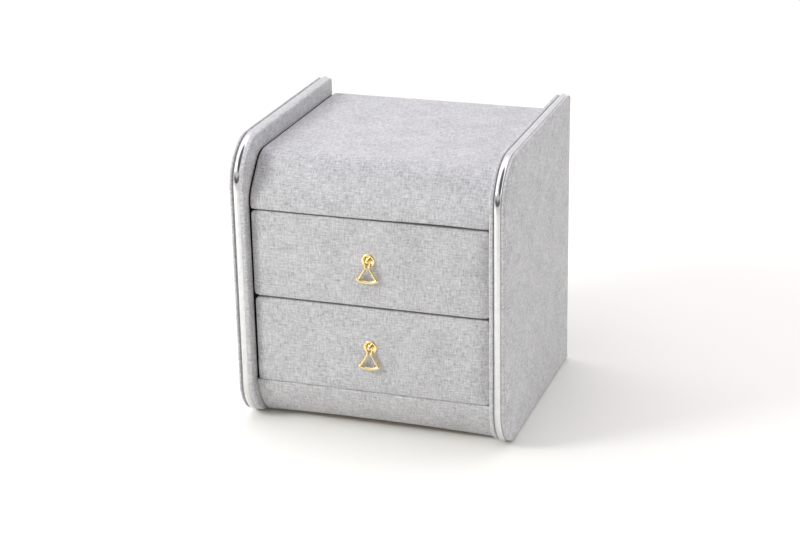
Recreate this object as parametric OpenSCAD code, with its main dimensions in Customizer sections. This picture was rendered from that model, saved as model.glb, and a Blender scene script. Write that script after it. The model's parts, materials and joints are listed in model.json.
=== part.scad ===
// Upholstered bedside chest: two side panels with chrome edge trim, a padded top that
// curves down into a fixed fascia, two drawers on ball-bearing runners, and ring pulls.
// Millimetres. X is to the right, the front faces -Y, Z is up, the floor is at z = 0.

/* [Chest] */
// Width over the two side panels
chest_w = 500; // [440:5:560]
// Depth of a side panel from front edge to back edge
chest_d = 447; // [440:1:480]
// Height of the side panels' top edge above the floor
chest_h = 527; // [515:1:560]
// Thickness of a finished side panel, padding included
panel_t = 30; // [28:1:36]
// Radius of a side panel's top front corner
top_arc = 84; // [60:1:100]
// Radius of a side panel's bottom front corner
bottom_arc = 75; // [60:1:100]
// How far the drawer faces sit behind the panels' front edges
face_inset = 16; // [14:1:24]

/* [Boards and padding] */
// Thickness of the side, top and bottom boards and the rear rail
board_t = 18; // [16:1:19]
// Thickness of the padded cover on faces
pad_t = 6; // [4:0.5:7]
// Thickness of the padded cover on the side panels' edges
edge_pad = 5; // [4:0.5:6]
// Thickness of a cover where it is pulled over a hidden edge
hem_t = 2; // [1:0.5:3]
// Thickness of the back panel
back_t = 5; // [3:1:6]

/* [Top and fascia] */
// Height of the padded top above the floor
top_z = 497; // [490:1:505]
// Height of the fascia's lower edge
fascia_z = 407; // [400:1:412]
// Slope of the fascia's straight stretch below horizontal
fascia_slope = 50; // [45:1:55]
// Height at which that slope would meet the drawers' front plane
slope_foot_z = 432; // [428:1:436]
// Radius of the bend from the top to the slope
upper_bend = 40; // [36:1:50]
// Radius of the bend from the slope to the front plane
lower_bend = 50; // [40:1:55]
// Thickness of the bent fascia board
fascia_t = 12; // [10:1:12]
// Gap between the top's padded cover and the side panels
cover_gap = 2.5; // [1:0.5:3]

/* [Plinth] */
// Height of the plinth's top edge
plinth_z = 80; // [78:1:84]
// Radius of the plinth's curved face
plinth_arc = 117; // [110:1:130]
// Height of that curve's centre
plinth_arc_z = 96; // [92:1:100]
// Thickness of the bent plinth board
plinth_t = 12; // [10:1:14]
// Height of the arch under the plinth
arch_h = 15; // [10:1:20]
// Height at which the arch would spring from the side panels
arch_spring_z = 2; // [1:1:5]
// Gap between the plinth's padded cover and the side panels
plinth_gap = 1; // [0.5:0.5:3]

/* [Drawers] */
// Gap between the fascia and the upper drawer front
top_gap = 3.5; // [2:0.5:4]
// Gap between the drawer fronts
mid_gap = 3; // [2:0.5:4]
// Gap between the lower drawer front and the plinth
foot_gap = 1.5; // [1.5:0.5:4]
// Gap at each end of a drawer front
side_gap = 3; // [1.5:0.5:3.5]
// Thickness of the board in a drawer front
front_t = 16; // [15:1:18]
// Radius of a drawer front's padded upright edges
front_edge_r = 5; // [4:0.5:8]
// Thickness of the drawer box's boards
box_t = 12; // [10:1:13]
// Thickness of a drawer's bottom panel
bottom_t = 5; // [3:1:6]
// Height of a drawer box
box_h = 120; // [100:5:125]
// Length of a drawer box from front to back
box_l = 360; // [350:5:365]
// Height of a drawer box above the lower edge of its front
box_lift = 14; // [10:1:16]

/* [Runners] */
// Length of the cabinet member and of the drawer member
runner_l = 350; // [340:10:350]
// Height of a runner
runner_h = 45; // [45:1:48]
// Total thickness of a runner
runner_w = 12.7; // [12.7:0.1:13]
// Thickness of a runner's steel
steel_t = 1.2; // [1:0.1:1.2]
// Diameter of the bearing balls
ball_d = 2.4; // [2:0.1:2.4]

/* [Pulls] */
// Diameter of the knob's disc
knob_d = 25; // [22:0.5:28]
// Height of the knob above the drawer front's lower edge
knob_up = 87.5; // [80:0.5:95]
// Distance of the ring's pivot from the drawer's face
pivot_out = 8.5; // [8:0.5:10]
// Diameter of the ring's two pivot pins
pivot_d = 2; // [1.6:0.1:2.2]
// Clearance around the pins
pivot_play = 0.1; // [0.06:0.01:0.1]
// Distance from the pivot to the middle of the ring's curved foot
ring_r = 38; // [32:1:42]
// Half of the angle that the ring's foot spans, seen from the pivot
ring_spread = 27; // [22:1:32]

/* [Hidden] */
$fn = 64;

// Colours
linen = [0.74, 0.74, 0.76];
chrome = [0.86, 0.87, 0.88];
gold = [0.83, 0.64, 0.28];
board_brown = [0.72, 0.60, 0.44];
box_grey = [0.80, 0.80, 0.79];
zinc = [0.70, 0.71, 0.72];
black = [0.12, 0.12, 0.12];

// Small extra length that lets a cutting tool pass through a face
through = 1;
// Longer than any part, for cutting away one side of an outline
far = 1000;

// Floor glides
glide_h = 1;
glide_d = 22;

// Edge trim: a domed head over a thin leg that is pressed into a slot in the board
trim_w = 12;
trim_proud = 2;
trim_sunk = 1;
trim_leg_t = 2;
trim_leg_l = 12;
trim_end_angle = 75;
trim_head_h = trim_proud + trim_sunk;
trim_dome_r = (pow(trim_w / 2, 2) + pow(trim_head_h, 2)) / (2 * trim_head_h);

// Main planes
front_y = -(chest_d + trim_proud) / 2 + trim_proud;
back_y = front_y + chest_d;
face_y = front_y + face_inset;
outer_x = chest_w / 2;
inner_x = outer_x - panel_t;
mid_x = outer_x - panel_t / 2;
board_in_x = mid_x - board_t / 2;
board_out_x = mid_x + board_t / 2;

// Top and fascia
top_under_z = top_z - pad_t - board_t;
slope_head_y = face_y + (top_z - slope_foot_z) / tan(fascia_slope);
upper_centre = [slope_head_y + upper_bend * tan(fascia_slope / 2), top_z - upper_bend];
lower_centre = [face_y + lower_bend, slope_foot_z - lower_bend * tan((90 - fascia_slope) / 2)];
slope_out = [-sin(fascia_slope), cos(fascia_slope)];
top_front_y = upper_centre[0];
board_back_y = back_y - pad_t;

// Plinth, bottom board and back
plinth_centre = [face_y + plinth_arc, plinth_arc_z];
plinth_board_z = plinth_z - hem_t;
bottom_top_z = plinth_z - 3;
bottom_under_z = bottom_top_z - board_t;
bottom_front_y = face_y + 24.5;
back_front_y = board_back_y - back_t;
rail_h = 60;
rail_front_y = back_front_y - board_t;
rail_under_z = top_under_z - rail_h;

// Drawers
front_w = 2 * (inner_x - side_gap);
front_h = (fascia_z - plinth_z - top_gap - mid_gap - foot_gap) / 2;
lower_z = plinth_z + foot_gap;
upper_z = lower_z + front_h + mid_gap;
front_wrap_x = 5;
front_wrap_z = 3;
front_back_y = face_y + pad_t + front_t;
box_out_x = inner_x - runner_w;
box_in_x = box_out_x - box_t;
box_back_y = front_back_y + box_l;
groove_up = 10;
groove_d = 6;

// Runners: each member is a steel channel, nested with room for the balls
runner_up = box_lift + 45;
runner_front_y = front_back_y + 2.5;
middle_l = 330;
middle_half_h = runner_h / 2 - steel_t - 3;
inner_half_h = middle_half_h - steel_t - 3.1;
middle_web_x = inner_x - steel_t - 1.7;
middle_flange = 5.9;
inner_flange = 6.2;
outer_flange = 9.5;
ball_rows = [-60, -30, 0, 30, 60];
cage_l = 150;
cage_t = 0.6;
cage_w = 4;
cage_x = middle_web_x - steel_t - 3;

// Fasteners
screw_d = 3.5;
screw_head_d = 7;
screw_head_t = 1;
screw_l = 15;
front_screw_l = 24;
inner_screw_l = 10;
recess_w = 0.8;
recess_l = 3.6;
recess_depth = 0.6;
runner_screw_ys = [-130, 20, 150];
panel_screw_xs = [-165, -55, 55, 165];
front_screw_x = 150;
front_screw_zs = [box_lift + 25, box_lift + 95];
knob_screw_d = 4;
knob_screw_l = 38;
knob_screw_head_d = 8;
knob_screw_head_t = 2.4;
dowel_d = 6;
dowel_in = 15;
dowel_out = 12;
cam_d = 15;
cam_h = 12.5;
cam_back = 24;
cam_ys = [-80, 150];
cam_bolt_d = 6;
cam_bore_d = 8;
cam_bolt_head_l = 3;
cam_bolt_thread_d = 5;
cam_bolt_in = 11;

// Centre of each dowel, as [y, z]: top, bottom, rear rail (two), fascia, plinth (two)
dowel_places = [
    [30, top_under_z + board_t / 2],
    [30, bottom_under_z + board_t / 2],
    [rail_front_y + board_t / 2, rail_under_z + 15],
    [rail_front_y + board_t / 2, top_under_z - 15],
    [(slope_head_y + face_y) / 2, (top_z + slope_foot_z) / 2] - (pad_t + fascia_t / 2) * slope_out,
    [plinth_y(plinth_arc - edge_pad - plinth_t / 2, 62), 62],
    [plinth_y(plinth_arc - edge_pad - plinth_t / 2, 32), 32]
];

// Knob, built outwards from the drawer's face: a dished disc, a dome, and a post with a ball on top
knob_disc_t = 4;
knob_rim_r = 2;
knob_dish_r = 9.2;
knob_dish_depth = 1.8;
knob_dome_r = 6;
knob_dome_sunk = 0.8;
knob_post_r = 2.4;
knob_ball_r = 3.1;

// Ring: on each side a pin, an eye, a neck that draws in to a knee, an arm that widens
// downwards and a corner ball; and a curved foot between the corners
eye_r = 1.9;
eye_x = knob_ball_r + 0.4 + eye_r;
pin_in_x = 1.2;
neck_top_r = 1.4;
neck_foot_r = 1.6;
knee_x = 3.4;
knee_drop = 11;
knee_r = 2;
arm_top_r = 1.8;
arm_foot_r = 2.8;
foot_r = 3;
corner_r = 3.3;

// Front-to-back place of the plinth's curve of radius r at height z
function plinth_y(r, z) = plinth_centre[0] - sqrt(r * r - pow(plinth_centre[1] - z, 2));

// ---- Shared shapes ----

// Extrudes a [y, z] outline from x0 to x1
module along_x(x0, x1)
    translate([x0, 0, 0]) rotate([90, 0, 90]) linear_extrude(x1 - x0) children();

// Extrudes an [x, z] outline from y0 to y1
module along_y(y0, y1)
    translate([0, y1, 0]) rotate([90, 0, 0]) linear_extrude(y1 - y0) children();

// A block between two opposite corners
module block(low, high)
    translate(low) cube(high - low);

// A rod of diameter d along X
module rod_x(x0, x1, y, z, d)
    translate([x0, y, z]) rotate([0, 90, 0]) cylinder(h = x1 - x0, d = d);

// A rod of diameter d along Y
module rod_y(x, y0, y1, z, d)
    translate([x, y1, z]) rotate([90, 0, 0]) cylinder(h = y1 - y0, d = d);

module left()
    mirror([1, 0, 0]) children();

module both_sides() {
    children();
    left() children();
}

// A pan-head screw whose shank runs along +Z from z = 0 and whose head is below it
module screw(d, l, head_d, head_t) {
    difference() {
        union() {
            cylinder(h = l, d = d);
            translate([0, 0, -head_t]) cylinder(h = head_t, d = head_d);
        }
        for (turn = [0, 90])
            rotate([0, 0, turn])
                translate([-recess_l / 2, -recess_w / 2, -head_t - through])
                    cube([recess_l, recess_w, through + recess_depth]);
    }
}

// ---- Side panels, modelled on the right ----

// Side view of a panel, drawn in from its finished edge by inset
module panel_outline(inset) {
    top_r = top_arc - inset;
    bottom_r = bottom_arc - inset;
    y0 = front_y + inset;
    y1 = back_y - inset;
    z0 = glide_h + inset;
    z1 = chest_h - inset;
    translate([y0 + top_r, z1 - top_r]) circle(top_r);
    translate([y0 + bottom_r, z0 + bottom_r]) circle(bottom_r);
    translate([y0, z0 + bottom_r]) square([y1 - y0, z1 - top_r - z0 - bottom_r]);
    translate([y0 + top_r, z0 + bottom_r]) square([y1 - y0 - top_r, z1 - z0 - bottom_r]);
    translate([y0 + bottom_r, z0]) square([y1 - y0 - bottom_r, z1 - z0 - top_r]);
}

// Section of the trim: [distance outwards, place across the panel's edge], edge at r
module trim_section(r) {
    intersection() {
        translate([r + trim_proud - trim_dome_r, 0]) circle(trim_dome_r);
        translate([r - trim_sunk, -trim_w / 2]) square([trim_head_h, trim_w]);
    }
    translate([r - trim_sunk - trim_leg_l, -trim_leg_t / 2]) square([trim_leg_l, trim_leg_t]);
}

// The trim's full path: along the top edge, round both front corners and down the front
module trim_path() {
    top_centre = [front_y + top_arc, chest_h - top_arc];
    bottom_centre = [front_y + bottom_arc, glide_h + bottom_arc];
    translate([mid_x, 0, 0]) rotate([90, 0, 90]) {
        translate([top_centre[0], chest_h]) rotate([0, 0, 90])
            rotate([90, 0, 0]) linear_extrude(back_y - top_centre[0]) trim_section(0);
        translate(top_centre) rotate([0, 0, 90]) rotate_extrude(angle = 90) trim_section(top_arc);
        translate([front_y, bottom_centre[1]]) rotate([0, 0, 180])
            rotate([90, 0, 0]) linear_extrude(top_centre[1] - bottom_centre[1]) trim_section(0);
        translate(bottom_centre) rotate([0, 0, 180])
            rotate_extrude(angle = trim_end_angle) trim_section(bottom_arc);
    }
}

// Every hole that the carcass's fasteners need, on the right
module carcass_holes() {
    for (place = dowel_places)
        rod_x(inner_x - dowel_in, board_in_x + dowel_out, place[0], place[1], dowel_d);
    for (y = cam_ys, z = [top_under_z, bottom_under_z])
        rod_x(board_in_x, board_in_x + cam_bolt_in, y, z + board_t / 2, cam_bolt_thread_d);
    for (y = runner_screw_ys, z = [lower_z, upper_z])
        rod_x(inner_x - through, inner_x + screw_l, y, z + runner_up, screw_d);
}

module side_board()
    color(board_brown) difference() {
        along_x(board_in_x, board_out_x) panel_outline(edge_pad);
        trim_path();
        carcass_holes();
    }

module outer_cover()
    color(linen) difference() {
        along_x(mid_x, outer_x) panel_outline(0);
        along_x(mid_x - through, board_out_x) panel_outline(edge_pad);
        trim_path();
    }

module inner_cover()
    color(linen) difference() {
        along_x(inner_x, mid_x) panel_outline(0);
        along_x(board_in_x, mid_x + through) panel_outline(edge_pad);
        trim_path();
        carcass_holes();
        for (y = cam_ys, z = [top_under_z, bottom_under_z])
            rod_x(inner_x - through, board_in_x + through, y, z + board_t / 2, cam_bolt_d);
    }

module edge_trim()
    color(chrome) trim_path();

module floor_glides()
    color(black) both_sides()
        for (y = [front_y + bottom_arc + 20, back_y - 35])
            translate([mid_x, y, 0]) cylinder(h = glide_h, d = glide_d);

// ---- Top, fascia, plinth and back ----

// Side view of the top and fascia, drawn in by inset, closed at height floor_z
module top_outline(inset, floor_z) {
    upper_r = upper_bend - inset;
    lower_r = lower_bend - inset;
    translate(upper_centre) circle(upper_r);
    translate(lower_centre) circle(lower_r);
    polygon([
        [upper_centre[0], top_z - inset],
        upper_centre + upper_r * slope_out,
        lower_centre + lower_r * slope_out,
        [face_y + inset, lower_centre[1]],
        [face_y + inset, floor_z],
        [back_y - inset, floor_z],
        [back_y - inset, top_z - inset]
    ]);
}

// Everything in front of the top board and above the fascia's lower edge
module fascia_window()
    translate([-far, fascia_z]) square([far + top_front_y, far]);

module fascia_board()
    color(board_brown) difference() {
        along_x(-inner_x, inner_x) difference() {
            intersection() {
                top_outline(pad_t, fascia_z - through);
                translate([-far, fascia_z + hem_t]) square([far + top_front_y, far]);
            }
            top_outline(pad_t + fascia_t, fascia_z - through);
        }
        both_sides() carcass_holes();
    }

module top_cover()
    color(linen) along_x(-inner_x + cover_gap, inner_x - cover_gap) difference() {
        intersection() {
            top_outline(0, fascia_z - through);
            union() {
                fascia_window();
                translate([-far, top_under_z]) square([2 * far, far]);
            }
        }
        intersection() {
            top_outline(pad_t, fascia_z - through);
            translate([-far, fascia_z + hem_t]) square([2 * far, far]);
        }
        translate([face_y + pad_t + fascia_t, 0]) square([far, fascia_z + hem_t + through]);
    }

// A carcass board with its cam-lock pockets and dowel holes
module cam_board(y0, y1, under_z)
    color(board_brown) difference() {
        block([-inner_x, y0, under_z], [inner_x, y1, under_z + board_t]);
        both_sides() {
            carcass_holes();
            for (y = cam_ys) {
                translate([inner_x - cam_back, y, under_z - through])
                    cylinder(h = cam_h + through, d = cam_d);
                rod_x(inner_x - cam_back, inner_x + through, y, under_z + board_t / 2, cam_bore_d);
            }
        }
        if (under_z == bottom_under_z)
            for (x = panel_screw_xs)
                rod_y(x, board_back_y - screw_l, board_back_y, under_z + board_t / 2, screw_d);
    }

module top_board()
    cam_board(top_front_y, board_back_y, top_under_z);

module bottom_board()
    cam_board(bottom_front_y, back_front_y, bottom_under_z);

// Side view of a layer of the curved plinth between two insets, up to height z1
module plinth_layer(inset0, inset1, z1)
    intersection() {
        difference() {
            translate(plinth_centre) circle(plinth_arc - inset0);
            translate(plinth_centre) circle(plinth_arc - inset1);
        }
        translate([face_y, 0]) square([plinth_arc, z1]);
    }

// The arch under the plinth: half an ellipse that springs from just inside the side panels' linen
module arch_cutter() {
    rise = arch_h - arch_spring_z;
    translate([0, 0, arch_spring_z]) scale([(inner_x + 2 * through) / rise, 1, 1])
        rod_y(0, face_y - through, 0, 0, 2 * rise);
    block([-inner_x - through, face_y - through, -through], [inner_x + through, 0, arch_spring_z]);
}

module plinth_board()
    color(board_brown) difference() {
        along_x(-inner_x, inner_x) plinth_layer(edge_pad, edge_pad + plinth_t, plinth_board_z);
        arch_cutter();
        both_sides() carcass_holes();
    }

module plinth_cover()
    color(linen) difference() {
        along_x(-inner_x + plinth_gap, inner_x - plinth_gap) difference() {
            plinth_layer(0, edge_pad + plinth_t, plinth_z);
            plinth_layer(edge_pad, edge_pad + plinth_t + through, plinth_board_z);
        }
        arch_cutter();
    }

module back_panel()
    color(black) difference() {
        block([-inner_x, back_front_y, bottom_under_z], [inner_x, board_back_y, top_under_z]);
        for (x = panel_screw_xs, z = [bottom_under_z + board_t / 2, rail_under_z + rail_h / 2])
            rod_y(x, board_back_y - screw_l, board_back_y + through, z, screw_d);
    }

module rear_rail()
    color(board_brown) difference() {
        block([-inner_x, rail_front_y, rail_under_z], [inner_x, back_front_y, top_under_z]);
        both_sides() carcass_holes();
        for (x = panel_screw_xs)
            rod_y(x, board_back_y - screw_l, board_back_y, rail_under_z + rail_h / 2, screw_d);
    }

// ---- Carcass fasteners ----

module cam_locks()
    color(zinc) both_sides()
        for (y = cam_ys, z = [top_under_z, bottom_under_z])
            difference() {
                translate([inner_x - cam_back, y, z]) cylinder(h = cam_h, d = cam_d);
                rod_x(inner_x - cam_back, inner_x, y, z + board_t / 2, cam_bore_d);
                translate([inner_x - cam_back, y, z])
                    cube([recess_l * 2, recess_w * 2, recess_depth * 4], center = true);
            }

module cam_bolts()
    color(zinc) both_sides()
        for (y = cam_ys, z = [top_under_z, bottom_under_z]) {
            bolt_z = z + board_t / 2;
            head_x = inner_x - cam_back + 1;
            rod_x(head_x, head_x + cam_bolt_head_l, y, bolt_z, cam_bolt_d + 1);
            rod_x(head_x + cam_bolt_head_l, board_in_x, y, bolt_z, cam_bolt_d);
            rod_x(board_in_x, board_in_x + cam_bolt_in, y, bolt_z, cam_bolt_thread_d);
        }

module carcass_dowels()
    color(board_brown) both_sides()
        for (place = dowel_places)
            rod_x(inner_x - dowel_in, board_in_x + dowel_out, place[0], place[1], dowel_d);

module back_panel_screws()
    color(zinc)
        for (x = panel_screw_xs, z = [bottom_under_z + board_t / 2, rail_under_z + rail_h / 2])
            translate([x, board_back_y, z]) rotate([90, 0, 0])
                screw(screw_d, screw_l, screw_head_d, screw_head_t);

module runner_screws()
    color(zinc) both_sides()
        for (y = runner_screw_ys, z = [lower_z, upper_z])
            translate([inner_x - steel_t, y, z + runner_up]) rotate([0, 90, 0])
                screw(screw_d, screw_l + steel_t, screw_head_d, screw_head_t);

// ---- Runners, modelled on the right at the height of a drawer front's lower edge ----

// Section of a channel: web from web_x inwards, flanges of length flange towards side
module channel(web_x, half_h, flange, side) {
    translate([web_x - steel_t, -half_h]) square([steel_t, 2 * half_h]);
    for (z = [-half_h, half_h - steel_t])
        translate([side > 0 ? web_x : web_x - steel_t - flange, z]) square([flange, steel_t]);
}

module runner_outer(z)
    color(zinc) difference() {
        translate([0, 0, z + runner_up])
            along_y(runner_front_y, runner_front_y + runner_l)
                channel(inner_x, runner_h / 2, outer_flange, -1);
        for (y = runner_screw_ys)
            rod_x(inner_x - steel_t - through, inner_x + through, y, z + runner_up, screw_d);
    }

module runner_middle(z)
    color(zinc) translate([0, 0, z + runner_up])
        along_y(runner_front_y, runner_front_y + middle_l)
            channel(middle_web_x, middle_half_h, middle_flange, -1);

module runner_inner(z)
    color(zinc) difference() {
        translate([0, 0, z + runner_up])
            along_y(runner_front_y, runner_front_y + runner_l)
                channel(box_out_x + steel_t, inner_half_h, inner_flange, 1);
        for (y = runner_screw_ys)
            rod_x(box_out_x - through, box_out_x + steel_t + through, y, z + runner_up, screw_d);
    }

// One caged row of balls at height ball_z, half way along the middle member
module ball_strip(ball_z) {
    middle_y = runner_front_y + middle_l / 2;
    translate([cage_x - cage_w / 2, middle_y - cage_l / 2, ball_z - cage_t / 2])
        cube([cage_w, cage_l, cage_t]);
    for (y = ball_rows)
        translate([cage_x, middle_y + y, ball_z]) sphere(d = ball_d);
}

module ball_cages(z)
    color(zinc) both_sides() translate([0, 0, z + runner_up])
        for (up = [-1, 1]) {
            ball_strip(up * (middle_half_h + ball_d / 2));
            ball_strip(up * (middle_half_h - steel_t - ball_d / 2));
        }

// ---- Drawers, modelled with the lower edge of the front at z ----

// Plan of a padded drawer front with rounded upright edges
module front_plan() {
    half_w = front_w / 2;
    translate([-half_w, face_y + front_edge_r]) square([front_w, front_back_y - face_y - front_edge_r]);
    translate([-half_w + front_edge_r, face_y]) square([front_w - 2 * front_edge_r, front_edge_r]);
    for (x = [-half_w + front_edge_r, half_w - front_edge_r])
        translate([x, face_y + front_edge_r]) circle(front_edge_r);
}

module front_core(z)
    block([-front_w / 2 + front_wrap_x, face_y + pad_t, z + front_wrap_z],
          [front_w / 2 - front_wrap_x, front_back_y, z + front_h - front_wrap_z]);

module knob_screw_hole(z)
    rod_y(0, face_y - through, front_back_y + box_t + through, z + knob_up, knob_screw_d);

module front_screw_holes(z)
    for (x = [-front_screw_x, front_screw_x], up = front_screw_zs)
        rod_y(x, front_back_y + box_t - front_screw_l, front_back_y + box_t + through, z + up, screw_d);

module front_board(z)
    color(board_brown) difference() {
        front_core(z);
        knob_screw_hole(z);
        front_screw_holes(z);
    }

module front_cover(z)
    color(linen) difference() {
        translate([0, 0, z]) linear_extrude(front_h) front_plan();
        front_core(z);
        knob_screw_hole(z);
    }

// The bottom panel, which the box's boards are grooved for
module box_bottom(z)
    color(box_grey)
        block([-box_in_x - groove_d, front_back_y + box_t - groove_d, z + box_lift + groove_up],
              [box_in_x + groove_d, box_back_y - box_t + groove_d, z + box_lift + groove_up + bottom_t]);

module box_front(z)
    color(box_grey) difference() {
        block([-box_in_x, front_back_y, z + box_lift],
              [box_in_x, front_back_y + box_t, z + box_lift + box_h]);
        box_bottom(z);
        knob_screw_hole(z);
        front_screw_holes(z);
    }

module box_back(z)
    color(box_grey) difference() {
        block([-box_in_x, box_back_y - box_t, z + box_lift],
              [box_in_x, box_back_y, z + box_lift + box_h]);
        box_bottom(z);
    }

module box_side(z)
    color(box_grey) difference() {
        block([box_in_x, front_back_y, z + box_lift],
              [box_out_x, box_back_y, z + box_lift + box_h]);
        box_bottom(z);
        for (y = runner_screw_ys)
            rod_x(box_out_x - inner_screw_l, box_out_x + through, y, z + runner_up, screw_d);
    }

// Screws that hold the front to the box and the runners' drawer members to its sides
module drawer_screws(z)
    color(zinc) {
        for (x = [-front_screw_x, front_screw_x], up = front_screw_zs)
            translate([x, front_back_y + box_t, z + up]) rotate([90, 0, 0])
                screw(screw_d, front_screw_l, screw_head_d, screw_head_t);
        both_sides()
            for (y = runner_screw_ys)
                translate([box_out_x + steel_t, y, z + runner_up]) rotate([0, -90, 0])
                    screw(screw_d, inner_screw_l + steel_t, screw_head_d, screw_head_t);
    }

// ---- Pulls ----

// Half section of the knob: [radius, distance out from the face]
module knob_section() {
    disc_r = knob_d / 2;
    dish_sphere_r = (pow(knob_dish_r, 2) + pow(knob_dish_depth, 2)) / (2 * knob_dish_depth);
    intersection() {
        union() {
            difference() {
                union() {
                    square([disc_r, knob_disc_t - knob_rim_r]);
                    square([disc_r - knob_rim_r, knob_disc_t]);
                    translate([disc_r - knob_rim_r, knob_disc_t - knob_rim_r]) circle(knob_rim_r);
                }
                translate([0, knob_disc_t - knob_dish_depth + dish_sphere_r])
                    circle(dish_sphere_r, $fn = 128);
            }
            translate([0, -knob_dome_sunk]) circle(knob_dome_r);
            square([knob_post_r, pivot_out]);
            translate([0, pivot_out]) circle(knob_ball_r);
        }
        square(far);
    }
}

// The knob, bored across for the ring's pins and from behind for its screw
module knob(z)
    color(gold) translate([0, face_y, z + knob_up]) difference() {
        rotate([90, 0, 0]) rotate_extrude() knob_section();
        rod_x(-knob_ball_r - through, knob_ball_r + through, -pivot_out, 0, pivot_d + 2 * pivot_play);
        rod_y(0, front_back_y + box_t - knob_screw_l - face_y, through, 0, knob_screw_d);
    }

module knob_screw(z)
    color(zinc) translate([0, front_back_y + box_t, z + knob_up]) rotate([90, 0, 0])
        screw(knob_screw_d, knob_screw_l, knob_screw_head_d, knob_screw_head_t);

// A round bar that tapers from r1 at [x, z] place a to r2 at b
module tapered_bar(a, b, r1, r2) {
    run = b - a;
    translate([a[0], 0, a[1]]) rotate([0, atan2(run[0], run[1]), 0])
        cylinder(h = norm(run), r1 = r1, r2 = r2);
}

// A ball at an [x, z] place
module ball(place, r)
    translate([place[0], 0, place[1]]) sphere(r);

// The right-hand pin, eye, neck, knee, arm and corner of the ring, around the pivot
module ring_side() {
    eye = [eye_x, 0];
    knee = [knee_x, -knee_drop];
    corner = [ring_r * sin(ring_spread), -ring_r * cos(ring_spread)];
    rod_x(pin_in_x, eye_x, 0, 0, pivot_d);
    ball(eye, eye_r);
    tapered_bar(eye, knee, neck_top_r, neck_foot_r);
    ball(knee, knee_r);
    tapered_bar(knee, corner, arm_top_r, arm_foot_r);
    ball(corner, corner_r);
}

module pull_ring(z)
    color(gold) translate([0, face_y - pivot_out, z + knob_up]) {
        both_sides() ring_side();
        rotate([90, 0, 0]) rotate([0, 0, -90 - ring_spread])
            rotate_extrude(angle = 2 * ring_spread) translate([ring_r, 0]) circle(foot_r);
    }

// ---- Assembly ----

left() side_board();  // left_side_board
side_board();  // right_side_board
left() outer_cover();  // left_outer_cover
outer_cover();  // right_outer_cover
left() inner_cover();  // left_inner_cover
inner_cover();  // right_inner_cover
left() edge_trim();  // left_edge_trim
edge_trim();  // right_edge_trim
top_board();
fascia_board();
top_cover();
bottom_board();
plinth_board();
plinth_cover();
back_panel();
rear_rail();
floor_glides();
cam_locks();
cam_bolts();
carcass_dowels();
back_panel_screws();
runner_screws();
left() runner_outer(upper_z);  // upper_runner_outer_left
runner_outer(upper_z);  // upper_runner_outer_right
left() runner_outer(lower_z);  // lower_runner_outer_left
runner_outer(lower_z);  // lower_runner_outer_right
left() runner_middle(upper_z);  // upper_runner_middle_left
runner_middle(upper_z);  // upper_runner_middle_right
ball_cages(upper_z);  // upper_ball_cages
left() runner_middle(lower_z);  // lower_runner_middle_left
runner_middle(lower_z);  // lower_runner_middle_right
ball_cages(lower_z);  // lower_ball_cages
front_board(upper_z);  // upper_front_board
front_cover(upper_z);  // upper_front_cover
box_front(upper_z);  // upper_box_front
box_back(upper_z);  // upper_box_back
left() box_side(upper_z);  // upper_box_left
box_side(upper_z);  // upper_box_right
box_bottom(upper_z);  // upper_box_bottom
left() runner_inner(upper_z);  // upper_runner_inner_left
runner_inner(upper_z);  // upper_runner_inner_right
drawer_screws(upper_z);  // upper_drawer_screws
knob(upper_z);  // upper_knob
knob_screw(upper_z);  // upper_knob_screw
pull_ring(upper_z);  // upper_pull_ring
front_board(lower_z);  // lower_front_board
front_cover(lower_z);  // lower_front_cover
box_front(lower_z);  // lower_box_front
box_back(lower_z);  // lower_box_back
left() box_side(lower_z);  // lower_box_left
box_side(lower_z);  // lower_box_right
box_bottom(lower_z);  // lower_box_bottom
left() runner_inner(lower_z);  // lower_runner_inner_left
runner_inner(lower_z);  // lower_runner_inner_right
drawer_screws(lower_z);  // lower_drawer_screws
knob(lower_z);  // lower_knob
knob_screw(lower_z);  // lower_knob_screw
pull_ring(lower_z);  // lower_pull_ring
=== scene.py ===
"""Looks of the upholstered bedside chest: padded linen covers, chrome edge trim and gold pulls."""
import json
import math

import bpy
import numpy as np
from mathutils import Matrix, Vector, noise


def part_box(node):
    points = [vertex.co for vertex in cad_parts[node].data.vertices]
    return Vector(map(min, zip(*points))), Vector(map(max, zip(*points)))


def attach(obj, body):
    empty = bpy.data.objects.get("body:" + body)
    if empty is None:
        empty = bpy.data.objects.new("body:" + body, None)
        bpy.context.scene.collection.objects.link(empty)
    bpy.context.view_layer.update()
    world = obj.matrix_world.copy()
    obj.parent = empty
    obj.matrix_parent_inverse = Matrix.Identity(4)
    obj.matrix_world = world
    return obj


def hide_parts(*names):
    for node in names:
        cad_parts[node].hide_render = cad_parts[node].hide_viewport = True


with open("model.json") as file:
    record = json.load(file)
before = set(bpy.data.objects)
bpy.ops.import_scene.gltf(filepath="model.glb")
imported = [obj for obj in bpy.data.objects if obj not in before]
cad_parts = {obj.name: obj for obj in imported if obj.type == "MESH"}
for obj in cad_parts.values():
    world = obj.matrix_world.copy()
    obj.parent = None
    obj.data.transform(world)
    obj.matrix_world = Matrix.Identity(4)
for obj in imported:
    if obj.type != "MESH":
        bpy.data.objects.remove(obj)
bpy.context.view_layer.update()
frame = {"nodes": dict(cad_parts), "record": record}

MM = 0.001

# ---- Sizes that the covers share with the boards under them ----

PANEL_TOP_ARC = 84 * MM
PANEL_BOTTOM_ARC = 75 * MM
TRIM_HALF_W = 6 * MM
# How far round a panel's bottom arc the trim runs, in degrees
TRIM_END_ANGLE = 75
PANEL_EDGE_R = 4 * MM
FASCIA_SLOPE = 50
FASCIA_FOOT_Z = 432 * MM
UPPER_BEND = 40 * MM
LOWER_BEND = 50 * MM
PLINTH_ARC = 117 * MM
PLINTH_ARC_Z = 96 * MM
ARCH_SPRING_Z = 2 * MM
ARCH_RISE = 13 * MM
ARCH_HALF_W = 222 * MM
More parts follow.
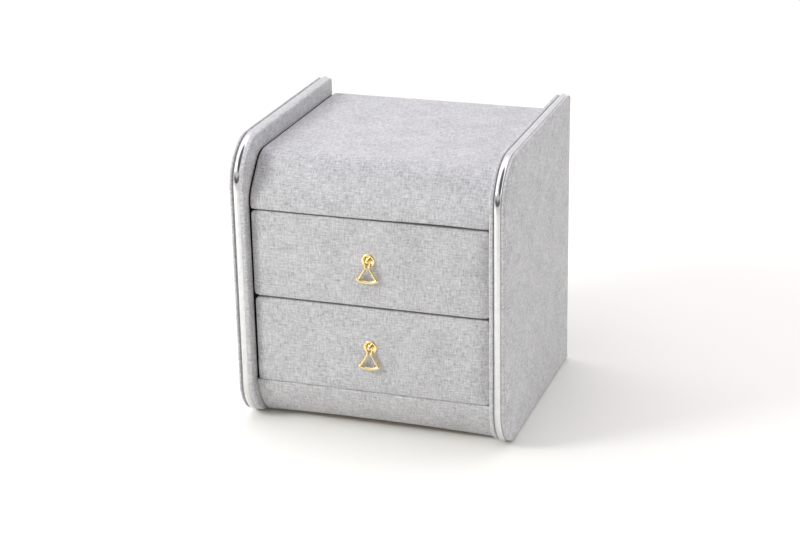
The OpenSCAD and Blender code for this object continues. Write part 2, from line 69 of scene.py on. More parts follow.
# Spacing of a cover's vertices
ROW_STEP = 9 * MM

# ---- How the padded covers are made ----

CLOTH_THICKNESS = 1.2 * MM
CLOTH_PRESSURE = 3.0
CLOTH_FRAMES = 20
PUFF = 2.0 * MM
# A swept cover is held still where it is further than this round its rim
RIM_DEPTH = 1 * MM
PANEL_RIPPLE = (60 * MM, 0.25 * MM, 3.1)
TOP_RIPPLE = (70 * MM, 0.4 * MM, 5.3)
PLINTH_RIPPLE = (60 * MM, 0.3 * MM, 9.4)
FRONT_RIPPLES = {"upper": (60 * MM, 0.35 * MM, 1.9), "lower": (60 * MM, 0.35 * MM, 7.2)}
# How far the drawer fronts' cloth is slack at the left edge
LEFT_SLACK = {"upper": 0.3 * MM, "lower": 1.4 * MM}
# Width of the groove between each cover and the chrome trim; below zero the cloth laps over the trim
TRIM_GROOVES = {
    (-1, "outer"): 2.6 * MM,
    (-1, "inner"): -0.8 * MM,
    (1, "inner"): 1.4 * MM,
    (1, "outer"): 1.4 * MM,
}
# A panel's back seam, as (distance drawn in, share of the panel's half width)
SEAM = ((0, 0.62), (0, 0.78), (0.1 * MM, 0.9), (0.5 * MM, 0.97), (1.6 * MM, 0.99), (2.6 * MM, 0.99))

# ---- Mesh helpers ----


def hand(side):
    """The name of a side of the chest: -1 is left and 1 is right."""
    return "right" if side > 0 else "left"


def lerp(a, b, t):
    """The value a share t of the way from a to b."""
    return a + (b - a) * t


def arc(centre, radius, start, end, step):
    """Points on an arc in a plane, at most step degrees apart; start and end are in degrees."""
    count = max(2, math.ceil(abs(end - start) / step) + 1)
    angles = np.radians(np.linspace(start, end, count))
    return [(centre[0] + radius * math.cos(a), centre[1] + radius * math.sin(a)) for a in angles]


def even_steps(low, high, step):
    """Values from low to high, evenly spaced at about step."""
    return list(np.linspace(low, high, max(2, round((high - low) / step) + 1)))


def polyline(*runs):
    """Joins runs of points into one line, dropping repeated points."""
    line = []
    for run in runs:
        for p in run:
            if not line or math.dist(line[-1], p) > 0.01 * MM:
                line.append(tuple(p))
    return line


def straight(a, b, step=ROW_STEP):
    """Evenly spaced points from a to b."""
    count = max(1, round(math.dist(a, b) / step))
    return [(lerp(a[0], b[0], i / count), lerp(a[1], b[1], i / count)) for i in range(count + 1)]


def link_mesh(name, verts, faces, weave):
    """A smooth-shaded mesh object whose UV map 'weave' gives the cloth's own flat coordinates."""
    mesh = bpy.data.meshes.new(name)
    mesh.from_pydata([tuple(v) for v in verts], [], faces)
    layer = mesh.uv_layers.new(name="weave")
    for loop in mesh.loops:
        layer.data[loop.index].uv = weave[loop.vertex_index]
    mesh.shade_smooth()
    obj = bpy.data.objects.new(name, mesh)
    bpy.context.scene.collection.objects.link(obj)
    return obj


def grid_faces(rows, columns):
    """Four-sided faces of a grid of vertices that are numbered row by row."""
    return [
        (r * columns + c, r * columns + c + 1, (r + 1) * columns + c + 1, (r + 1) * columns + c)
        for r in range(rows - 1)
        for c in range(columns - 1)
    ]


def loop_normals(points):
    """Outward mitred normals of a closed loop of plane points that runs anticlockwise."""
    p = np.array(points)
    ahead = np.roll(p, -1, 0) - p
    ahead /= np.linalg.norm(ahead, axis=1)[:, None]
    side = np.stack([ahead[:, 1], -ahead[:, 0]], 1)
    back = np.roll(side, 1, 0)
    return (side + back) / (1 + (side * back).sum(1))[:, None]


def rimmed_pad(name, face, bands, place, scale=(1, 1)):
    """A pad made of a face grid and bands that carry the cloth over its rim.

    face is a grid of plane points. bands(point) lists (outwards, depth) steps for a rim point.
    place(a, b, depth) gives the point in space. Returns the object and each vertex's band, which is
    0 on the face and the step's number on the rim."""
    rows, columns = len(face), len(face[0])
    flat = [p for row in face for p in row]
    faces = grid_faces(rows, columns)
    ring = (
        list(range(columns))
        + [r * columns + columns - 1 for r in range(1, rows)]
        + [(rows - 1) * columns + c for c in range(columns - 2, -1, -1)]
        + [r * columns for r in range(rows - 2, 0, -1)]
    )
    rim = [flat[i] for i in ring]
    normals = loop_normals(rim) * np.array(scale)
    reach = np.linalg.norm(normals, axis=1)
    verts = [(p[0], p[1], 0.0) for p in flat]
    weave = [tuple(p) for p in flat]
    band_of = [0] * len(verts)
    steps = [bands(p) for p in rim]
    travel = [0.0] * len(rim)
    previous = [(0.0, 0.0)] * len(rim)
    for k in range(len(steps[0])):
        start = len(verts)
        for i, (p, n) in enumerate(zip(rim, normals)):
            out, depth = steps[i][k]
            travel[i] += math.dist((out * reach[i], depth), previous[i])
            previous[i] = (out * reach[i], depth)
            along = travel[i] / reach[i]
            verts.append((p[0] + n[0] * out, p[1] + n[1] * out, depth))
            weave.append((p[0] + n[0] * along, p[1] + n[1] * along))
            band_of.append(k + 1)
        inner = ring if k == 0 else list(range(start - len(rim), start))
        for i in range(len(rim)):
            j = (i + 1) % len(rim)
            faces.append((inner[i], start + i, start + j, inner[j]))
    obj = link_mesh(name, [place(*v) for v in verts], faces, weave)
    return obj, np.array(band_of)


def inward_normals(line):
    """Unit normals of a line of plane points, on its left-hand side."""
    tangent = np.gradient(line, axis=0)
    tangent /= np.linalg.norm(tangent, axis=1)[:, None]
    return np.stack([-tangent[:, 1], tangent[:, 0]], 1)


def swept_pad(name, profile_at, columns):
    """A pad swept along X. profile_at(x) lists (y, z) points; columns lists (x, depth below the surface)."""
    verts, weave = [], []
    count = len(profile_at(columns[0][0]))
    across = 0.0
    for j, (x, depth) in enumerate(columns):
        line = np.array(profile_at(x))
        inward = inward_normals(line)
        along = np.concatenate([[0], np.cumsum(np.linalg.norm(np.diff(line, axis=0), axis=1))])
        if j:
            across += math.dist(columns[j - 1], (x, depth))
        for p, n, s in zip(line, inward, along):
            verts.append((x, p[0] + n[0] * depth, p[1] + n[1] * depth))
            weave.append((across, s))
    return link_mesh(name, verts, grid_faces(len(columns), count), weave)


def coordinates(obj, evaluated=False):
    """A mesh object's vertex places as an array, before or after its modifiers."""
    source = obj.evaluated_get(bpy.context.evaluated_depsgraph_get()) if evaluated else obj
    co = np.empty(len(source.data.vertices) * 3)
    source.data.vertices.foreach_get("co", co)
    return co.reshape(-1, 3)


def set_coordinates(obj, co):
    obj.data.vertices.foreach_set("co", np.asarray(co, float).ravel())
    obj.data.update()


def inflate(obj, held, cap=PUFF):
    """Lets cloth simulation puff the pad out from its pinned vertices, by at most cap."""
    group = obj.vertex_groups.new(name="held")
    group.add([int(i) for i in held], 1.0, "REPLACE")
    cloth = obj.modifiers.new("inflate", "CLOTH")
    cloth.settings.vertex_group_mass = "held"
    cloth.settings.use_pressure = True
    cloth.settings.uniform_pressure_force = CLOTH_PRESSURE
    cloth.settings.effector_weights.gravity = 0
    cloth.settings.quality = 6
    cloth.point_cache.frame_start = 1
    cloth.point_cache.frame_end = CLOTH_FRAMES
    for number in range(1, CLOTH_FRAMES + 1):
        bpy.context.scene.frame_set(number)
    rest = coordinates(obj)
    move = coordinates(obj, evaluated=True) - rest
    length = np.linalg.norm(move, axis=1)
    obj.modifiers.remove(cloth)
    obj.vertex_groups.remove(group)
    bpy.context.scene.frame_set(1)
    soft = cap * np.tanh(length / cap)
    set_coordinates(obj, rest + move * (soft / np.maximum(length, 1e-9))[:, None])


def ripple(obj, waves, free):
    """Moves the free vertices along their normals by smooth noise, so a pad isn't dead flat."""
    size, height, seed = waves
    start = Vector((seed, seed * 1.7, 0))
    co = coordinates(obj)
    for v in obj.data.vertices:
        if free[v.index]:
            lift = noise.noise(Vector(co[v.index]) / size + start)
            co[v.index] += np.array(v.normal) * lift * height
    set_coordinates(obj, co)


def thicken(obj):
    """Gives an open pad the cloth's thickness and smooths it."""
    solid = obj.modifiers.new("thickness", "SOLIDIFY")
    solid.thickness = CLOTH_THICKNESS
    solid.offset = -1
    smooth = obj.modifiers.new("smooth", "SUBSURF")
    smooth.levels = smooth.render_levels = 1


# ---- Materials ----


class Nodes:
    """A node tree under construction, with short calls for the nodes that the surfaces share."""

    def __init__(self, tree):
        self.tree = tree

    def node(self, kind, inputs=None, **settings):
        made = self.tree.nodes.new(kind)
        for key, value in settings.items():
            setattr(made, key, value)
        for key, value in (inputs or {}).items():
            self.feed(made.inputs[key], value)
        return made

    def feed(self, socket, value):
        if isinstance(value, bpy.types.NodeSocket):
            self.tree.links.new(value, socket)
        else:
            socket.default_value = value

    def math(self, operation, a, b=0.0):
        return self.node("ShaderNodeMath", {0: a, 1: b}, operation=operation).outputs[0]

    def total(self, *weighted):
        """The sum of (value, weight) pairs."""
        parts = [self.math("MULTIPLY", value, weight) for value, weight in weighted]
        while len(parts) > 1:
            parts.append(self.math("ADD", parts.pop(0), parts.pop(0)))
        return parts[0]

    def smooth(self, value, low, high, to_low=0.0, to_high=1.0):
        """Goes smoothly from to_low to to_high while value goes from low to high."""
        inputs = {"Value": value, "From Min": low, "From Max": high, "To Min": to_low, "To Max": to_high}
        made = self.node("ShaderNodeMapRange", inputs, interpolation_type="SMOOTHSTEP")
        return made.outputs["Result"]

    def towards(self, vector, direction):
        """How far a vector points along a direction."""
        made = self.node("ShaderNodeVectorMath", {0: vector, 1: direction}, operation="DOT_PRODUCT")
        return made.outputs["Value"]

    def noise(self, vector, scale, detail=2.0, roughness=0.5):
        made = self.node(
            "ShaderNodeTexNoise",
            {"Vector": vector, "Scale": scale, "Detail": detail, "Roughness": roughness},
        )
        return made.outputs["Fac"]

    def stretched(self, vector, scale):
        return self.node("ShaderNodeMapping", {"Vector": vector, "Scale": scale}).outputs[0]

    def ramp(self, value, *stops):
        made = self.node("ShaderNodeValToRGB", {"Fac": value})
        points = made.color_ramp.elements
        while len(points) < len(stops):
            points.new(1.0)
        for point, (at, colour) in zip(points, stops):
            point.position = at
            point.color = (*colour, 1)
        return made.outputs["Color"]


class Shader(Nodes):
    """A material under construction."""

    def __init__(self, name, roughness, metallic=0.0):
        self.material = bpy.data.materials.new(name)
        self.material.use_nodes = True
        super().__init__(self.material.node_tree)
        self.surface = self.tree.nodes["Principled BSDF"]
        self.surface.inputs["Roughness"].default_value = roughness
        self.surface.inputs["Metallic"].default_value = metallic

    def object_point(self):
        """The shaded point's place in its object."""
        return self.node("ShaderNodeTexCoord").outputs["Object"]

    def bump(self, height, distance, strength):
        made = self.node("ShaderNodeBump", {"Height": height, "Distance": distance, "Strength": strength})
        self.tree.links.new(made.outputs[0], self.surface.inputs["Normal"])

    def finish(self, colour, roughness=None):
        """Sets the colour, and the roughness where it varies, and gives the material."""
        self.feed(self.surface.inputs["Base Color"], colour)
        if roughness is not None:
            self.feed(self.surface.inputs["Roughness"], roughness)
        return self.material


THREAD_PITCH_MM = 0.85
# Tints of the linen, and of the floor that the chrome picks up
COOL = (1.0, 1.0, 1.014)
WARM = (1.0, 0.998, 0.94)


def grey(value, tint=(1, 1, 1)):
    return tuple(value * t for t in tint)


def linen():
    """Slub linen: a plain weave of light threads, with thick and thin places that read as grey flecks."""
    s = Shader("linen", roughness=0.92)
    s.surface.inputs["Specular IOR Level"].default_value = 0.2
    s.surface.inputs["Sheen Weight"].default_value = 0.08
    s.surface.inputs["Sheen Roughness"].default_value = 0.5
    uv = s.node("ShaderNodeUVMap", uv_map="weave").outputs[0]
    in_mm = s.stretched(uv, (1000, 1000, 1000))
    split = s.node("ShaderNodeSeparateXYZ", {0: in_mm})
    turn = 2 * math.pi / THREAD_PITCH_MM
    wave_u = s.math("SINE", s.math("MULTIPLY", split.outputs[0], turn))
    wave_v = s.math("SINE", s.math("MULTIPLY", split.outputs[1], turn))
    weave = s.math("MULTIPLY", wave_u, wave_v)
    warp = s.noise(s.stretched(in_mm, (0.42, 0.06, 1)), 1.0, 3.0, 0.6)
    weft = s.noise(s.stretched(in_mm, (0.06, 0.42, 1)), 1.0, 3.0, 0.6)
    fleck = s.noise(in_mm, 0.24, 3.0, 0.6)
    cloud = s.noise(in_mm, 0.02, 2.0, 0.5)
    tone = s.total((warp, 0.36), (weft, 0.36), (fleck, 0.28), (weave, 0.02), (cloud, 0.12))
    # The tone's usual value, about which the four greys are spread
    middle = 0.56
    colour = s.ramp(
        tone,
        (middle - 0.14, grey(0.30, COOL)),
        (middle - 0.04, grey(0.50, COOL)),
        (middle + 0.04, grey(0.61, COOL)),
        (middle + 0.12, grey(0.73, COOL)),
    )
    height = s.total((weave, 0.5), (warp, 1.5), (weft, 1.5))
    s.bump(height, 0.25 * MM, 0.5)
    return s.finish(colour)


def chrome():
    s = Shader("chrome_trim", roughness=0.05, metallic=1.0)
    coords = s.object_point()
    haze = s.noise(coords, 90.0, 3.0)
    s.bump(s.noise(coords, 25.0, 1.0), 0.15 * MM, 0.25)
    rough = s.total((haze, 0.05), (1.0, 0.035))
    colour = s.ramp(haze, (0.3, (0.68, 0.68, 0.68)), (0.7, (0.76, 0.76, 0.76)))
    return s.finish(colour, rough)


def gold():
    s = Shader("gold", roughness=0.12, metallic=1.0)
    coords = s.object_point()
    haze = s.noise(coords, 260.0, 3.0)
    rough = s.total((haze, 0.14), (1.0, 0.06))
    colour = s.ramp(haze, (0.3, (0.86, 0.66, 0.30)), (0.7, (1.0, 0.83, 0.47)))
    s.bump(s.noise(coords, 120.0, 2.0), 0.05 * MM, 0.3)
    return s.finish(colour, rough)


def fibreboard():
    """Raw brown fibreboard, seen at hems and gaps."""
    s = Shader("board", roughness=0.8)
    coords = s.object_point()
    fibre = s.noise(coords, 900.0, 4.0, 0.7)
    cloud = s.noise(coords, 14.0, 3.0)
    tone = s.total((fibre, 0.7), (cloud, 0.3))
    colour = s.ramp(tone, (0.3, (0.33, 0.21, 0.11)), (0.7, (0.56, 0.40, 0.25)))
    s.bump(fibre, 0.1 * MM, 0.4)
    return s.finish(colour)


def laminate():
    """Pale grey linen-print laminate on the drawer boxes."""
    s = Shader("drawer_box", roughness=0.5)
    coords = s.object_point()
    fine = s.noise(s.stretched(coords, (90, 1400, 1400)), 1.0, 2.0)
    cross = s.noise(s.stretched(coords, (1400, 90, 90)), 1.0, 2.0)
    tone = s.total((fine, 0.5), (cross, 0.5))
    colour = s.ramp(tone, (0.3, (0.50, 0.49, 0.47)), (0.7, (0.70, 0.69, 0.67)))
    s.bump(tone, 0.04 * MM, 0.3)
    return s.finish(colour)


def zinc_steel():
    s = Shader("runner_steel", roughness=0.35, metallic=1.0)
    coords = s.object_point()
    streak = s.noise(s.stretched(coords, (900, 12, 900)), 1.0, 3.0)
    rough = s.total((streak, 0.25), (1.0, 0.22))
    colour = s.ramp(streak, (0.3, (0.50, 0.51, 0.53)), (0.7, (0.68, 0.69, 0.71)))
    return s.finish(colour, rough)


def black_hardboard():
    s = Shader("back_board", roughness=0.65)
    coords = s.object_point()
    grain = s.noise(coords, 700.0, 3.0, 0.6)
    colour = s.ramp(grain, (0.3, (0.010, 0.010, 0.011)), (0.7, (0.030, 0.030, 0.032)))
    s.bump(grain, 0.06 * MM, 0.5)
    return s.finish(colour)


# Painted shade: near-black cloth put where the gaps beside the side panels are in shade
def painted_shade_cloth():
    s = Shader("shade_lining", roughness=0.95)
    s.surface.inputs["Specular IOR Level"].default_value = 0.1
    coords = s.object_point()
    fibre = s.noise(coords, 1200.0, 3.0, 0.6)
    s.bump(fibre, 0.08 * MM, 0.4)
    return s.finish(s.ramp(fibre, (0.3, (0.008, 0.008, 0.009)), (0.7, (0.024, 0.024, 0.026))))


def black_plastic():
    s = Shader("glide", roughness=0.5)
    coords = s.object_point()
    grain = s.noise(coords, 1500.0, 2.0)
    colour = s.ramp(grain, (0.3, (0.012, 0.012, 0.012)), (0.7, (0.030, 0.030, 0.030)))
    s.bump(grain, 0.03 * MM, 0.4)
    return s.finish(colour)


MATERIALS = {
    "linen": linen(),
    "chrome_trim": chrome(),
    "gold": gold(),
    "board": fibreboard(),
    "drawer_box": laminate(),
    "runner_steel": zinc_steel(),
    "back_board": black_hardboard(),
    # Painted shade: the near-black cloth that darkens the gaps beside the panels
    "shade_lining": painted_shade_cloth(),
    "glide": black_plastic(),
}


def paint(obj, slot):
    obj.data.materials.clear()
    obj.data.materials.append(MATERIALS[slot])


def place_pad(obj, node, body):
    """Finishes a padded linen cover that stands for a CAD node."""
    paint(obj, "linen")
    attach(obj, body)
    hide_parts(node)


# ---- Side panel covers ----


def panel_face(low, high, inset):
    """Grid of (y, z) points over a panel's side view, drawn in from its edge by inset."""
    y0, y1 = low.y + inset, high.y - inset
    z0, z1 = low.z + inset, high.z - inset
    top_r, bottom_r = PANEL_TOP_ARC - inset, PANEL_BOTTOM_ARC - inset
    bottom = [(z0 + bottom_r * (1 - math.cos(a)), bottom_r * (1 - math.sin(a)))
              for a in np.radians(np.linspace(0, 90, 12))]
    top = [(z1 - top_r * (1 - math.cos(a)), top_r * (1 - math.sin(a)))
           for a in np.radians(np.linspace(90, 0, 12))]
    middle = [(z, 0.0) for z in even_steps(bottom[-1][0], top[0][0], ROW_STEP)[1:-1]]
    count = round((y1 - y0) / ROW_STEP)
    return [
        [(lerp(y0 + start, y1, c / count), z) for c in range(count + 1)]
        for z, start in bottom + middle + top
    ]


def panel_bands(low, high, point, groove):
    """How the cloth runs over a panel's rim: down into the groove beside the trim, or to the back seam.

    Each step is (how far out from the face's edge, how deep below the face)."""
    r = PANEL_EDGE_R
    half = high.x - low.x
    rounding = [(r * math.sin(a), r * (1 - math.cos(a))) for a in np.radians([18, 36, 54, 72, 90])]
    y, z = point
    centre_y = low.y + PANEL_BOTTOM_ARC
    centre_z = low.z + PANEL_BOTTOM_ARC
    angle = math.degrees(math.atan2(centre_z - z, centre_y - y))
    on_bottom = z < centre_z and (y > centre_y or angle > TRIM_END_ANGLE)
    on_back = y > high.y - r - 0.5 * MM and z < high.z - 2 * r
    trim_edge = half - TRIM_HALF_W
    lip = trim_edge - groove
    if on_bottom or on_back:
        tail = [(r - drawn_in, half * share) for drawn_in, share in SEAM]
    else:
        # Over the lip, down into the groove and on under the trim
        roll = max(groove, 1.2 * MM)
        sunk = r - 1.6 * MM - roll * 0.5
        tail = [(r, lip - 0.8 * MM), (r - 0.3 * MM, lip), (lerp(r, sunk, 0.7), lip + 0.3 * roll),
                (sunk, lip + 0.6 * roll), (sunk, trim_edge + 2 * MM), (sunk, trim_edge + 4.2 * MM)]
    return rounding + tail


def panel_cover(side, where):
    """The outer or inner cover of one side panel. side is -1 on the left and 1 on the right."""
    node = f"{hand(side)}_{where}_cover"
    low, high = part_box(f"right_{where}_cover")
    outer = where == "outer"
    surface_x = high.x if outer else low.x
    inwards = -1 if outer else 1

    def place(a, b, depth):
        return Vector((side * (surface_x + inwards * depth), a, b))

    face = panel_face(low, high, PANEL_EDGE_R)
    groove = TRIM_GROOVES[side, where]
    pad, band = rimmed_pad(node + "_pad", face, lambda p: panel_bands(low, high, p, groove), place)
    if (side > 0) != outer:
        pad.data.flip_normals()
    if outer:
        inflate(pad, np.flatnonzero(band > 3))
    size, height, seed = PANEL_RIPPLE
    ripple(pad, (size, height, side * seed), free=band < 3)
    thicken(pad)
    place_pad(pad, node, "carcass")


for side, where in TRIM_GROOVES:
    panel_cover(side, where)


# ---- Top and fascia ----


def fascia_profile(low, high):
    """Side view of the top cover, from its hem under the back edge to its hem behind the fascia."""
    slope = math.radians(FASCIA_SLOPE)
    face_y, top_z, back_y = low.y, high.z, high.y
    head_y = face_y + (top_z - FASCIA_FOOT_Z) / math.tan(slope)
    upper = (head_y + UPPER_BEND * math.tan(slope / 2), top_z - UPPER_BEND)
    lower = (face_y + LOWER_BEND, FASCIA_FOOT_Z - LOWER_BEND * math.tan((math.pi / 2 - slope) / 2))
    hem_r = 3 * MM
    back_r = 3 * MM
    back_z = top_z - 24 * MM
    return polyline(
        straight((back_y - 4 * MM, back_z + 0.2 * MM), (back_y - 2 * MM, back_z + 0.2 * MM)),
        arc((back_y - 2 * MM, back_z + 2.2 * MM), 2 * MM, -90, 0, 30),
        straight((back_y, back_z + 4 * MM), (back_y, top_z - back_r), 5 * MM),
        arc((back_y - back_r, top_z - back_r), back_r, 0, 90, 18),
        straight((back_y - back_r, top_z), (upper[0], top_z)),
        arc(upper, UPPER_BEND, 90, 90 + FASCIA_SLOPE, 10),
        straight(
            (upper[0] - UPPER_BEND * math.sin(slope), upper[1] + UPPER_BEND * math.cos(slope)),
            (lower[0] - LOWER_BEND * math.sin(slope), lower[1] + LOWER_BEND * math.cos(slope)),
            7 * MM,
        ),
        arc(lower, LOWER_BEND, 90 + FASCIA_SLOPE, 180, 8),
        straight((face_y, lower[1]), (face_y, low.z + hem_r), 2 * MM),
        arc((face_y + hem_r, low.z + hem_r), hem_r, 180, 270, 15),
        straight((face_y + hem_r, low.z), (face_y + 17 * MM, low.z), 4 * MM),
    )


def rounded_columns(half_w, radius, walls, step=ROW_STEP):
    """(x, depth) columns across a swept pad whose ends round over into side walls of those depths."""
    rim = [(half_w, depth) for depth in reversed(walls)] + [
        (half_w - radius + radius * math.sin(a), radius * (1 - math.cos(a)))
        for a in np.radians([72, 54, 36, 18])
    ]
    middle = even_steps(-(half_w - radius), half_w - radius, step)
    return [(-x, d) for x, d in rim] + [(x, 0.0) for x in middle] + [(x, d) for x, d in reversed(rim)]


def pull_back(pad, end_x, width, depth):
    """Draw the right-hand end of a padded front back, so its face turns away towards the panel.

    The pull dies out behind the face, so the rear of the pad stays where it is."""
    fade_y = 80 * MM
    co = coordinates(pad)
    share = np.clip((co[:, 0] - end_x + width) / width, 0, 1)
    behind = co[:, 1] - co[:, 1].min()
    front = np.clip(1 - behind / fade_y, 0, 1)
    co[:, 1] += depth * share ** 2 * front
    set_coordinates(pad, co)


def lift_hem(pad, foot_z, start_x, end_x):
    """Pull the fascia's lower hem up a little between two places, as hand-stapled cloth does."""
    hem_h = 14 * MM
    most = 2.2 * MM
    co = coordinates(pad)
    along = np.clip((co[:, 0] - start_x) / (end_x - start_x), 0, 1)
    lift = most * np.sin(math.pi * along ** 1.6)
    co[:, 2] += lift * np.clip(1 - (co[:, 2] - foot_z) / hem_h, 0, 1)
    set_coordinates(pad, co)


def top_cover():
    low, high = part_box("top_cover")
    profile = fascia_profile(low, high)
    side_gap = 2 * MM
    columns = rounded_columns(high.x - side_gap, radius=3 * MM, walls=(3 * MM, 7 * MM, 12 * MM))
    pad = swept_pad("top_cover_pad", lambda x: profile, columns)
    pad.data.flip_normals()
    depth = np.repeat([d for _, d in columns], len(profile))
    co = coordinates(pad)
    held = (depth > RIM_DEPTH) | (co[:, 2] < low.z + RIM_DEPTH) | (co[:, 1] > high.y - RIM_DEPTH)
    inflate(pad, np.flatnonzero(held))
    ripple(pad, TOP_RIPPLE, free=~held)
    lift_hem(pad, low.z, start_x=-30 * MM, end_x=high.x)
    pull_back(pad, high.x, width=34 * MM, depth=4.2 * MM)
    thicken(pad)
    place_pad(pad, "top_cover", "carcass")


top_cover()


# ---- Plinth ----


def arch_z(x):
    """Height of the plinth's lower edge at x, on the arch's flat ellipse."""
    return ARCH_SPRING_Z + ARCH_RISE * math.sqrt(1 - (x / ARCH_HALF_W) ** 2)


def plinth_y(z, inset=0.0):
    """Front-to-back place of the plinth's curve at height z, or of a curve inside it."""
    radius = PLINTH_ARC - inset
    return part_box("plinth_cover")[0].y + PLINTH_ARC - math.sqrt(radius ** 2 - (PLINTH_ARC_Z - z) ** 2)


def plinth_cover():
    low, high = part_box("plinth_cover")
    edge_r = 2.5 * MM
    foot_r = 1.5 * MM

    def profile_at(x):
        head_z = high.z - edge_r
        foot_z = arch_z(x) + foot_r
        top = [(plinth_y(head_z) + back, high.z) for back in (14 * MM, 9 * MM, 5 * MM)]
        round_over = arc((plinth_y(head_z) + edge_r, head_z), edge_r, 90, 165, 20)
        face = [(plinth_y(z), z) for z in np.linspace(head_z, foot_z, 17)]
        turn_in = arc((plinth_y(foot_z) + foot_r, foot_z), foot_r, 200, 270, 35)
        under = [(plinth_y(foot_z) + back, foot_z - foot_r) for back in (4 * MM, 8 * MM, 12 * MM)]
        return top + round_over + face + turn_in + under

    columns = rounded_columns(high.x, radius=edge_r, walls=(edge_r, 6 * MM), step=6 * MM)
    pad = swept_pad("plinth_cover_pad", profile_at, columns)
    pad.data.flip_normals()
    count = len(profile_at(0.0))
    depth = np.repeat([d for _, d in columns], count)
    row = np.tile(np.arange(count), len(columns))
    held = (depth > RIM_DEPTH) | (row < 4) | (row > count - 5)
    inflate(pad, np.flatnonzero(held), cap=1.5 * MM)
    ripple(pad, PLINTH_RIPPLE, free=~held)
    thicken(pad)
    place_pad(pad, "plinth_cover", "carcass")


plinth_cover()


# ---- Shade lining: black cloth as painted shade in the gaps ----


def panel_shade_lining(side):
    """Black cloth on a panel's inner face, where the top, the fronts and the plinth hide it; it is painted
    shade, put there so the gaps beside the panel read near-black.
    """
    inset = 2 * MM
    foot_z = 20 * MM
    thickness = 0.3 * MM
    off_cover = 0.6 * MM
    face_low, face_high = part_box("top_cover")
    plinth_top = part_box("plinth_cover")[1].z
    back_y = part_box("back_panel")[0].y
    shelf = np.array([p for p in fascia_profile(face_low, face_high) if p[1] > face_low.z + 5 * MM])
    roof = [p for p in shelf + inward_normals(shelf) * inset if p[0] < back_y]
    foot = [(plinth_y(z, inset), z) for z in np.linspace(plinth_top, foot_z, 12)]
    outline = [(back_y, roof[0][1])] + [tuple(p) for p in roof] + foot + [(back_y, foot_z)]
    x = side * (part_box("right_inner_cover")[0].x - off_cover)
    name = hand(side) + "_lining"
    cloth = link_mesh(name, [(x, y, z) for y, z in outline], [tuple(range(len(outline)))], outline)
    if side > 0:
        cloth.data.flip_normals()
    solid = cloth.modifiers.new("thickness", "SOLIDIFY")
    solid.thickness = thickness
    # Painted shade: the lining's near-black colour stands for the shade in the gaps
    cloth.data.materials.append(MATERIALS["shade_lining"])
    ys, zs = zip(*outline)
    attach(cloth, "carcass")
    max(ys) - min(ys)
    max(zs) - min(zs)


for side in (-1, 1):
    panel_shade_lining(side)


# ---- Drawer fronts ----


def front_cover(level):
    """The padded cover of a drawer front, with a rounded rim and a hem turned in behind the board."""
    node = level + "_front_cover"
    low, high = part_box(node)
    edge_x, edge_z, edge_y = 4 * MM, 2.2 * MM, 3 * MM
    drawn_in = 0.4 * MM
    depth = high.y - low.y
    xs = even_steps(low.x + edge_x + LEFT_SLACK[level], high.x - edge_x, ROW_STEP)
    zs = even_steps(low.z + edge_z + drawn_in, high.z - edge_z - drawn_in, ROW_STEP)
    face = [[(x, z) for x in xs] for z in zs]
    # Steps outwards are shares of the rim's rounding, which scale turns into its width and height
    rounding = [(math.sin(a), edge_y * (1 - math.cos(a))) for a in np.radians([15, 30, 45, 60, 75, 90])]
    wall = [(1.0, lerp(edge_y, depth, t)) for t in (0.25, 0.5, 0.75, 0.92)]
    hem = [(0.9, depth + 0.5 * MM), (0.6, depth + 0.8 * MM), (0.2, depth + 0.8 * MM), (0.0, depth + 0.8 * MM)]
    pad, band = rimmed_pad(
        node + "_pad",
        face,
        lambda p: rounding + wall + hem,
        lambda a, b, d: Vector((a, low.y + d, b)),
        scale=(edge_x, edge_z),
    )
    inflate(pad, np.flatnonzero(band > 4))
    ripple(pad, FRONT_RIPPLES[level], free=band < 3)
    pull_back(pad, high.x, width=30 * MM, depth=3.2 * MM)
    thicken(pad)
    place_pad(pad, node, level + "_drawer")


for level in ("upper", "lower"):
    front_cover(level)

# ---- CAD nodes that keep their shape ----

for part in frame["record"]["subparts"]:
    node = frame["nodes"][part["node"]]
    paint(node, part["material_slot"])

# ---- Studio ----


def add_camera(at, yaw, pitch, roll, lens):
    """A camera at a point, turned left of +Y by yaw, down by pitch, and rolled, in degrees."""
    yaw, pitch, roll = (math.radians(a) for a in (yaw, pitch, roll))
    ahead = Vector((-math.sin(yaw) * math.cos(pitch), math.cos(yaw) * math.cos(pitch), -math.sin(pitch)))
    right = ahead.cross(Vector((0, 0, 1))).normalized()
    up = right.cross(ahead)
    rolled_right = math.cos(roll) * right + math.sin(roll) * up
    rolled_up = -math.sin(roll) * right + math.cos(roll) * up
    turn = Matrix((rolled_right, rolled_up, -ahead)).transposed().to_4x4()
    data = bpy.data.cameras.new("camera")
    data.lens = lens
    data.sensor_width = 36
    data.clip_end = 50
    obj = bpy.data.objects.new("camera", data)
    obj.matrix_world = Matrix.Translation(at) @ turn
    bpy.context.scene.collection.objects.link(obj)
    bpy.context.scene.camera = obj


def add_softbox(name, at, aim, size, power):
    """A white rectangular area light at a point, turned towards another."""
    data = bpy.data.lights.new(name, "AREA")
    data.shape = "RECTANGLE"
    data.size, data.size_y = size
    data.energy = power
    obj = bpy.data.objects.new(name, data)
    obj.location = at
    obj.rotation_euler = (Vector(aim) - Vector(at)).to_track_quat("-Z", "Y").to_euler()
    bpy.context.scene.collection.objects.link(obj)


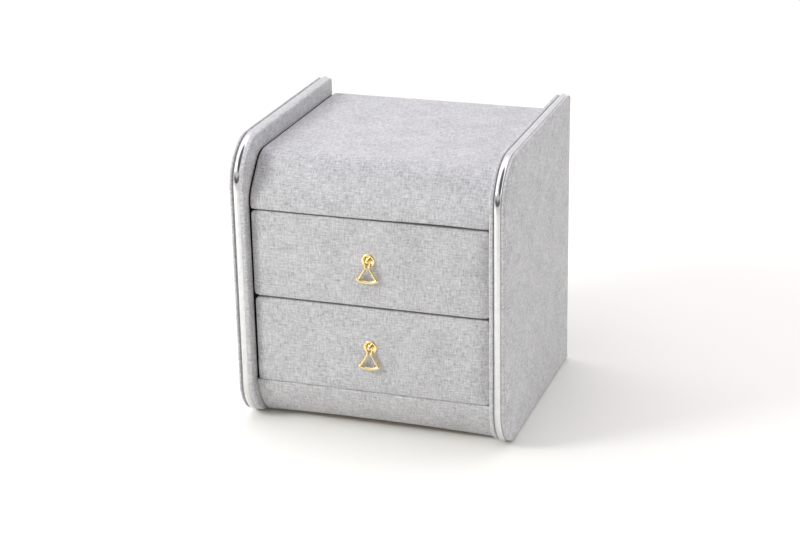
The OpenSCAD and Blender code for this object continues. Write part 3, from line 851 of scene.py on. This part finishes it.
def add_floor():
    """A white floor with painted shade: it greys a little in front on the right, which the chrome picks up as
    a dark reflection.
    """
    size = 14.0
    mesh = bpy.data.meshes.new("studio_floor")
    corners = [(-size, -size, 0), (size, -size, 0), (size, size, 0), (-size, size, 0)]
    mesh.from_pydata(corners, [], [(0, 1, 2, 3)])
    obj = bpy.data.objects.new("studio_floor", mesh)
    bpy.context.scene.collection.objects.link(obj)
    s = Shader("studio_floor", roughness=0.9)
    s.surface.inputs["Specular IOR Level"].default_value = 0.0
    coords = s.object_point()
    # Painted shade: the floor darkens towards the front right, so the chrome trim shows a painted dark
    # reflection there
    ahead = s.smooth(s.towards(coords, (0.5, -0.87, 0)), 0.75, 1.9)
    tone = s.total((ahead, 0.9), (s.noise(coords, 3.0, 2.0), 0.1))
    obj.data.materials.append(s.finish(s.ramp(tone, (0.0, grey(0.97, WARM)), (1.0, grey(0.72, WARM)))))


def add_world(strength):
    """A white studio with a dark horizon in front and a dark flag, which the chrome picks up."""
    world = bpy.data.worlds.new("studio")
    bpy.context.scene.world = world
    world.use_nodes = True
    n = Nodes(world.node_tree)
    direction = n.node("ShaderNodeTexCoord").outputs["Generated"]
    height = n.towards(direction, (0, 0, 1))
    ahead = n.towards(direction, (0, -1, 0))
    not_ahead = n.smooth(ahead, 0.1, 0.5, 1.0, 0.0)
    brighter_right = n.smooth(n.towards(direction, (1, 0, 0)), 0.2, 0.8, 1.15, 1.28)
    dimmer_behind = n.smooth(n.towards(direction, (0, 1, 0)), 0.3, 0.8, 1.0, 0.7)
    dimmer_ahead = n.smooth(ahead, 0.2, 0.9, 1.0, 0.5)
    dark_horizon = n.math("MAXIMUM", not_ahead, n.smooth(height, 0.1, 0.3, 0.2, 1.0))
    brighter_overhead = n.smooth(height, 0.5, 0.95, 1.0, 1.15)
    flag = n.smooth(n.towards(direction, (0.5, -0.42, 0.75)), 0.78, 0.88, 1.0, 0.12)
    light = strength
    for factor in (brighter_right, dimmer_behind, dimmer_ahead, dark_horizon, brighter_overhead, flag):
        light = n.math("MULTIPLY", factor, light)
    background = n.tree.nodes["Background"]
    n.feed(background.inputs["Color"], n.ramp(height, (0.1, (1, 1, 0.985)), (0.6, (1, 0.975, 1.03))))
    n.feed(background.inputs["Strength"], light)


add_camera(at=(1.0999, -3.2428, 1.5438), yaw=18.95, pitch=20.77, roll=-1.13, lens=89.94)
add_world(strength=1.23)
add_floor()
add_softbox("key", at=(-2.3, -1.9, 1.9), aim=(0, 0, 0.3), size=(1.0, 1.0), power=50)
bpy.context.scene.view_settings.view_transform = "Standard"
bpy.context.scene.view_settings.look = "None"
